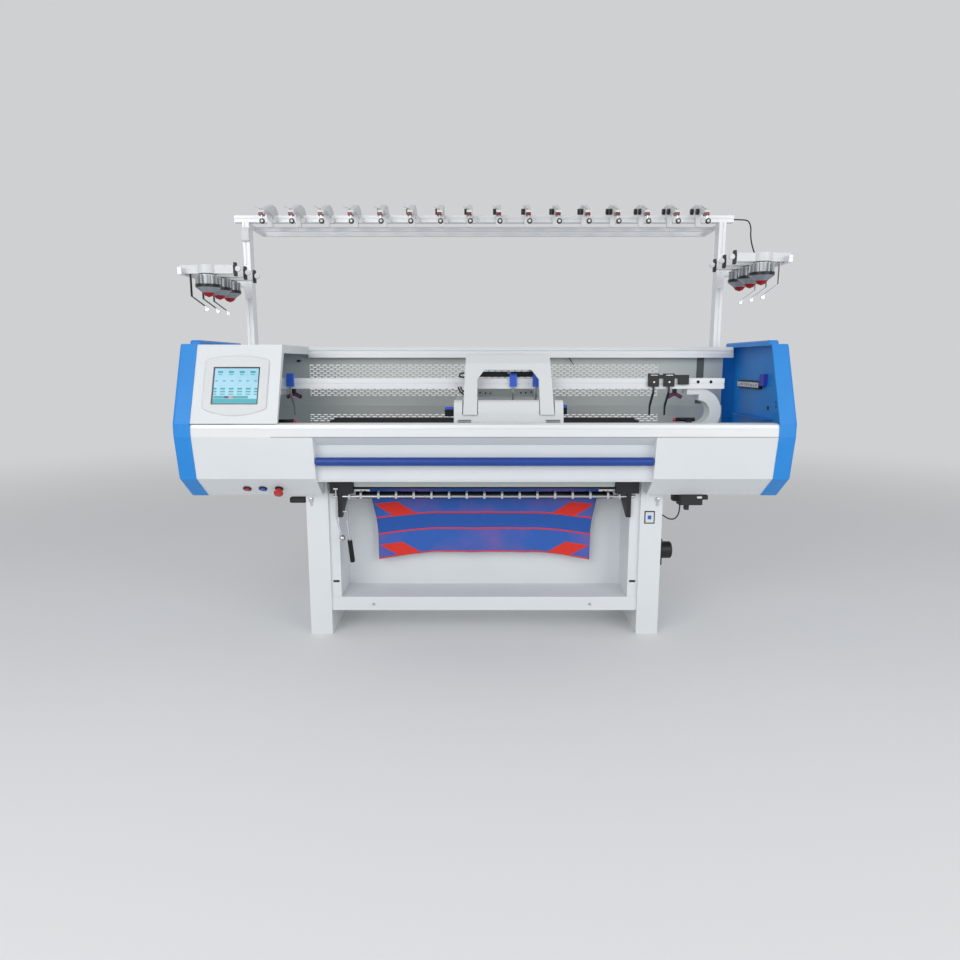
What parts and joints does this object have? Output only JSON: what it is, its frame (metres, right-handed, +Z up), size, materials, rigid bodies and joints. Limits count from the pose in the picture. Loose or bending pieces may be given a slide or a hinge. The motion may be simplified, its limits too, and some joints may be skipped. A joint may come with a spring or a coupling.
{
  "type": "flat knitting machine",
  "caption": "Computerised V-bed flat knitting machine with carriage, yarn carriers, end covers, console screen, take-down rollers, hanging knit, yarn beam and side feeders.",
  "frame": {"origin": "centre of the machine's floor rectangle, at floor level", "axes": "+X to the right along the needle beds as the knitter sees them, +Y towards the back, +Z up"},
  "size_m": [2.62, 0.93, 2.01],
  "materials": {
    "white_paint": "satin",
    "grey_paint": "satin",
    "carriage_paint": "satin",
    "blue_shell": "gloss",
    "aluminium": "satin",
    "bed_steel": "ground",
    "bright_steel": "polished",
    "black_steel": "satin",
    "white_plastic": "matte",
    "black_plastic": "matte",
    "blue_plastic": "gloss",
    "red_plastic": "gloss",
    "screen_glass": "gloss",
    "knit": "knitted",
    "cable_rubber": "matte",
    "belt_rubber": "toothed",
    "roller_rubber": "matte",
    "blue_bar": "gloss",
    "pulley_alu": "turned",
    "drum_alu": "polished"
  },
  "bodies": {
    "machine_frame": {"left_leg": "white_paint", "right_leg": "white_paint", "bottom_tray": "white_paint", "chute_panel": "white_paint", "bed_frame": "grey_paint", "front_needle_bed": "bed_steel", "front_cover": "white_paint", "front_rail": "aluminium", "rear_rail": "aluminium", "left_end_cover": "blue_shell", "right_end_cover": "blue_shell", "console_panel": "white_paint", "monitor_bezel": "white_plastic", "monitor_screen": "screen_glass", "back_cover": "grey_paint", "carriage_rails": "bright_steel", "yarn_rails": "aluminium", "rail_brackets": "white_paint", "yarn_grippers": "black_plastic", "button_collars": "black_plastic", "take_down_plates": "black_steel", "fabric": "knit", "take_down_motor": "black_steel", "posts": "aluminium", "top_beam": "aluminium", "guide_bars": "aluminium", "tensioner_housings": "white_plastic", "tensioner_knobs": "black_plastic", "feeder_mounts": "aluminium", "feeder_housings": "white_plastic", "feeder_arms": "black_steel", "beam_cable": "cable_rubber", "hanging_cable": "cable_rubber", "control_box": "black_plastic", "drive_motor": "black_steel", "drive_belt": "belt_rubber"},
    "carriage": {"carriage_boxes": "carriage_paint", "carriage_arch": "carriage_paint"},
    "presser": {"presser_hooks": "bright_steel"},
    "rear_needle_bed": {"rear_needle_bed": "bed_steel"},
    "yarn_carrier_1": {"yarn_carrier_1": "blue_plastic"},
    "yarn_carrier_2": {"yarn_carrier_2": "blue_plastic"},
    "yarn_carrier_3": {"yarn_carrier_3": "blue_plastic"},
    "yarn_carrier_4": {"yarn_carrier_4": "black_plastic"},
    "start_bar": {"start_bar": "blue_bar"},
    "red_button": {"red_button": "red_plastic"},
    "blue_button": {"blue_button": "blue_plastic"},
    "stop_button": {"stop_button": "red_plastic"},
    "take_down_roller": {"take_down_roller": "roller_rubber"},
    "press_roller": {"press_roller": "roller_rubber"},
    "release_lever": {"release_lever": "bright_steel"},
    "ball_lever": {"ball_lever": "bright_steel"},
    "drive_pulley": {"drive_pulley": "pulley_alu"},
    "idler_pulley": {"idler_pulley": "pulley_alu"},
    "feeder_drum_left_1": {"feeder_drum_left_1": "drum_alu"},
    "feeder_drum_left_2": {"feeder_drum_left_2": "drum_alu"},
    "feeder_drum_left_3": {"feeder_drum_left_3": "drum_alu"},
    "feeder_drum_right_1": {"feeder_drum_right_1": "drum_alu"},
    "feeder_drum_right_2": {"feeder_drum_right_2": "drum_alu"},
    "feeder_drum_right_3": {"feeder_drum_right_3": "drum_alu"}
  },
  "joints": [
    {"name": "carriage_slide", "type": "slide", "parent": "machine_frame", "child": "carriage", "axis": [1, 0, 0], "range_m": [-0.825, 0.615]},
    {"name": "rear_bed_racking", "type": "slide", "parent": "machine_frame", "child": "rear_needle_bed", "axis": [1, 0, 0], "range_m": [-0.0127, 0.0127]},
    {"name": "carrier_1_slide", "type": "slide", "parent": "machine_frame", "child": "yarn_carrier_1", "axis": [1, 0, 0], "range_m": [-0.03, 0.86]},
    {"name": "carrier_2_slide", "type": "slide", "parent": "machine_frame", "child": "yarn_carrier_2", "axis": [1, 0, 0], "range_m": [-0.101, 0.039]},
    {"name": "carrier_3_slide", "type": "slide", "parent": "machine_frame", "child": "yarn_carrier_3", "axis": [1, 0, 0], "range_m": [-0.03, 0.244]},
    {"name": "carrier_4_slide", "type": "slide", "parent": "machine_frame", "child": "yarn_carrier_4", "axis": [1, 0, 0], "range_m": [-0.236, 0.04]},
    {"name": "start_bar_turn", "type": "hinge", "parent": "machine_frame", "child": "start_bar", "pos_m": [0, -0.433, 0.837], "axis": [1, 0, 0], "range_deg": [-10, 10], "stiffness_Nm_per_rad": 2},
    {"name": "red_button_press", "type": "slide", "parent": "machine_frame", "child": "red_button", "axis": [0, 0.6205, 0.7842], "range_m": [0, 0.003], "stiffness_N_per_m": 150},
    {"name": "blue_button_press", "type": "slide", "parent": "machine_frame", "child": "blue_button", "axis": [0, 0.6205, 0.7842], "range_m": [0, 0.003], "stiffness_N_per_m": 150},
    {"name": "stop_button_press", "type": "slide", "parent": "machine_frame", "child": "stop_button", "axis": [0, 0.6205, 0.7842], "range_m": [0, 0.005], "stiffness_N_per_m": 300},
    {"name": "take_down_turn", "type": "hinge", "parent": "machine_frame", "child": "take_down_roller", "pos_m": [0, -0.0882, 0.68], "axis": [1, 0, 0], "continuous": true},
    {"name": "presser_swing", "type": "hinge", "parent": "machine_frame", "child": "presser", "pos_m": [0, -0.268, 0.655], "axis": [1, 0, 0], "range_deg": [0, 10]},
    {"name": "press_roller_turn", "type": "hinge", "parent": "presser", "child": "press_roller", "pos_m": [0, -0.1298, 0.68], "axis": [1, 0, 0], "continuous": true},
    {"name": "release_lever_turn", "type": "hinge", "parent": "machine_frame", "child": "release_lever", "pos_m": [-0.641, -0.268, 0.584], "axis": [1, 0, 0], "range_deg": [-50, 0]},
    {"name": "ball_lever_turn", "type": "hinge", "parent": "machine_frame", "child": "ball_lever", "pos_m": [-0.668, -0.297, 0.695], "axis": [1, 0, 0], "range_deg": [-25, 0]},
    {"name": "drive_pulley_turn", "type": "hinge", "parent": "machine_frame", "child": "drive_pulley", "pos_m": [1.06, 0.14, 0.79], "axis": [0, 1, 0], "continuous": true},
    {"name": "idler_pulley_turn", "type": "hinge", "parent": "machine_frame", "child": "idler_pulley", "pos_m": [-1.06, 0.14, 0.79], "axis": [0, 1, 0], "continuous": true},
    {"name": "feeder_left_1_turn", "type": "hinge", "parent": "machine_frame", "child": "feeder_drum_left_1", "pos_m": [-1.195, -0.265, 1.631], "axis": [0, 0, 1], "continuous": true},
    {"name": "feeder_left_2_turn", "type": "hinge", "parent": "machine_frame", "child": "feeder_drum_left_2", "pos_m": [-1.195, -0.135, 1.631], "axis": [0, 0, 1], "continuous": true},
    {"name": "feeder_left_3_turn", "type": "hinge", "parent": "machine_frame", "child": "feeder_drum_left_3", "pos_m": [-1.195, -0.005, 1.631], "axis": [0, 0, 1], "continuous": true},
    {"name": "feeder_right_1_turn", "type": "hinge", "parent": "machine_frame", "child": "feeder_drum_right_1", "pos_m": [1.195, -0.265, 1.681], "axis": [0, 0, 1], "continuous": true},
    {"name": "feeder_right_2_turn", "type": "hinge", "parent": "machine_frame", "child": "feeder_drum_right_2", "pos_m": [1.195, -0.135, 1.681], "axis": [0, 0, 1], "continuous": true},
    {"name": "feeder_right_3_turn", "type": "hinge", "parent": "machine_frame", "child": "feeder_drum_right_3", "pos_m": [1.195, -0.005, 1.681], "axis": [0, 0, 1], "continuous": true}
  ],
  "couplings": [
    {"joint": "drive_pulley_turn", "follows": "carriage_slide", "rad_per_m": 33.333},
    {"joint": "idler_pulley_turn", "follows": "carriage_slide", "rad_per_m": 33.333},
    {"joint": "press_roller_turn", "follows": "take_down_turn", "ratio": -1.9231},
    {"joint": "release_lever_turn", "follows": "presser_swing", "ratio": -5}
  ]
}
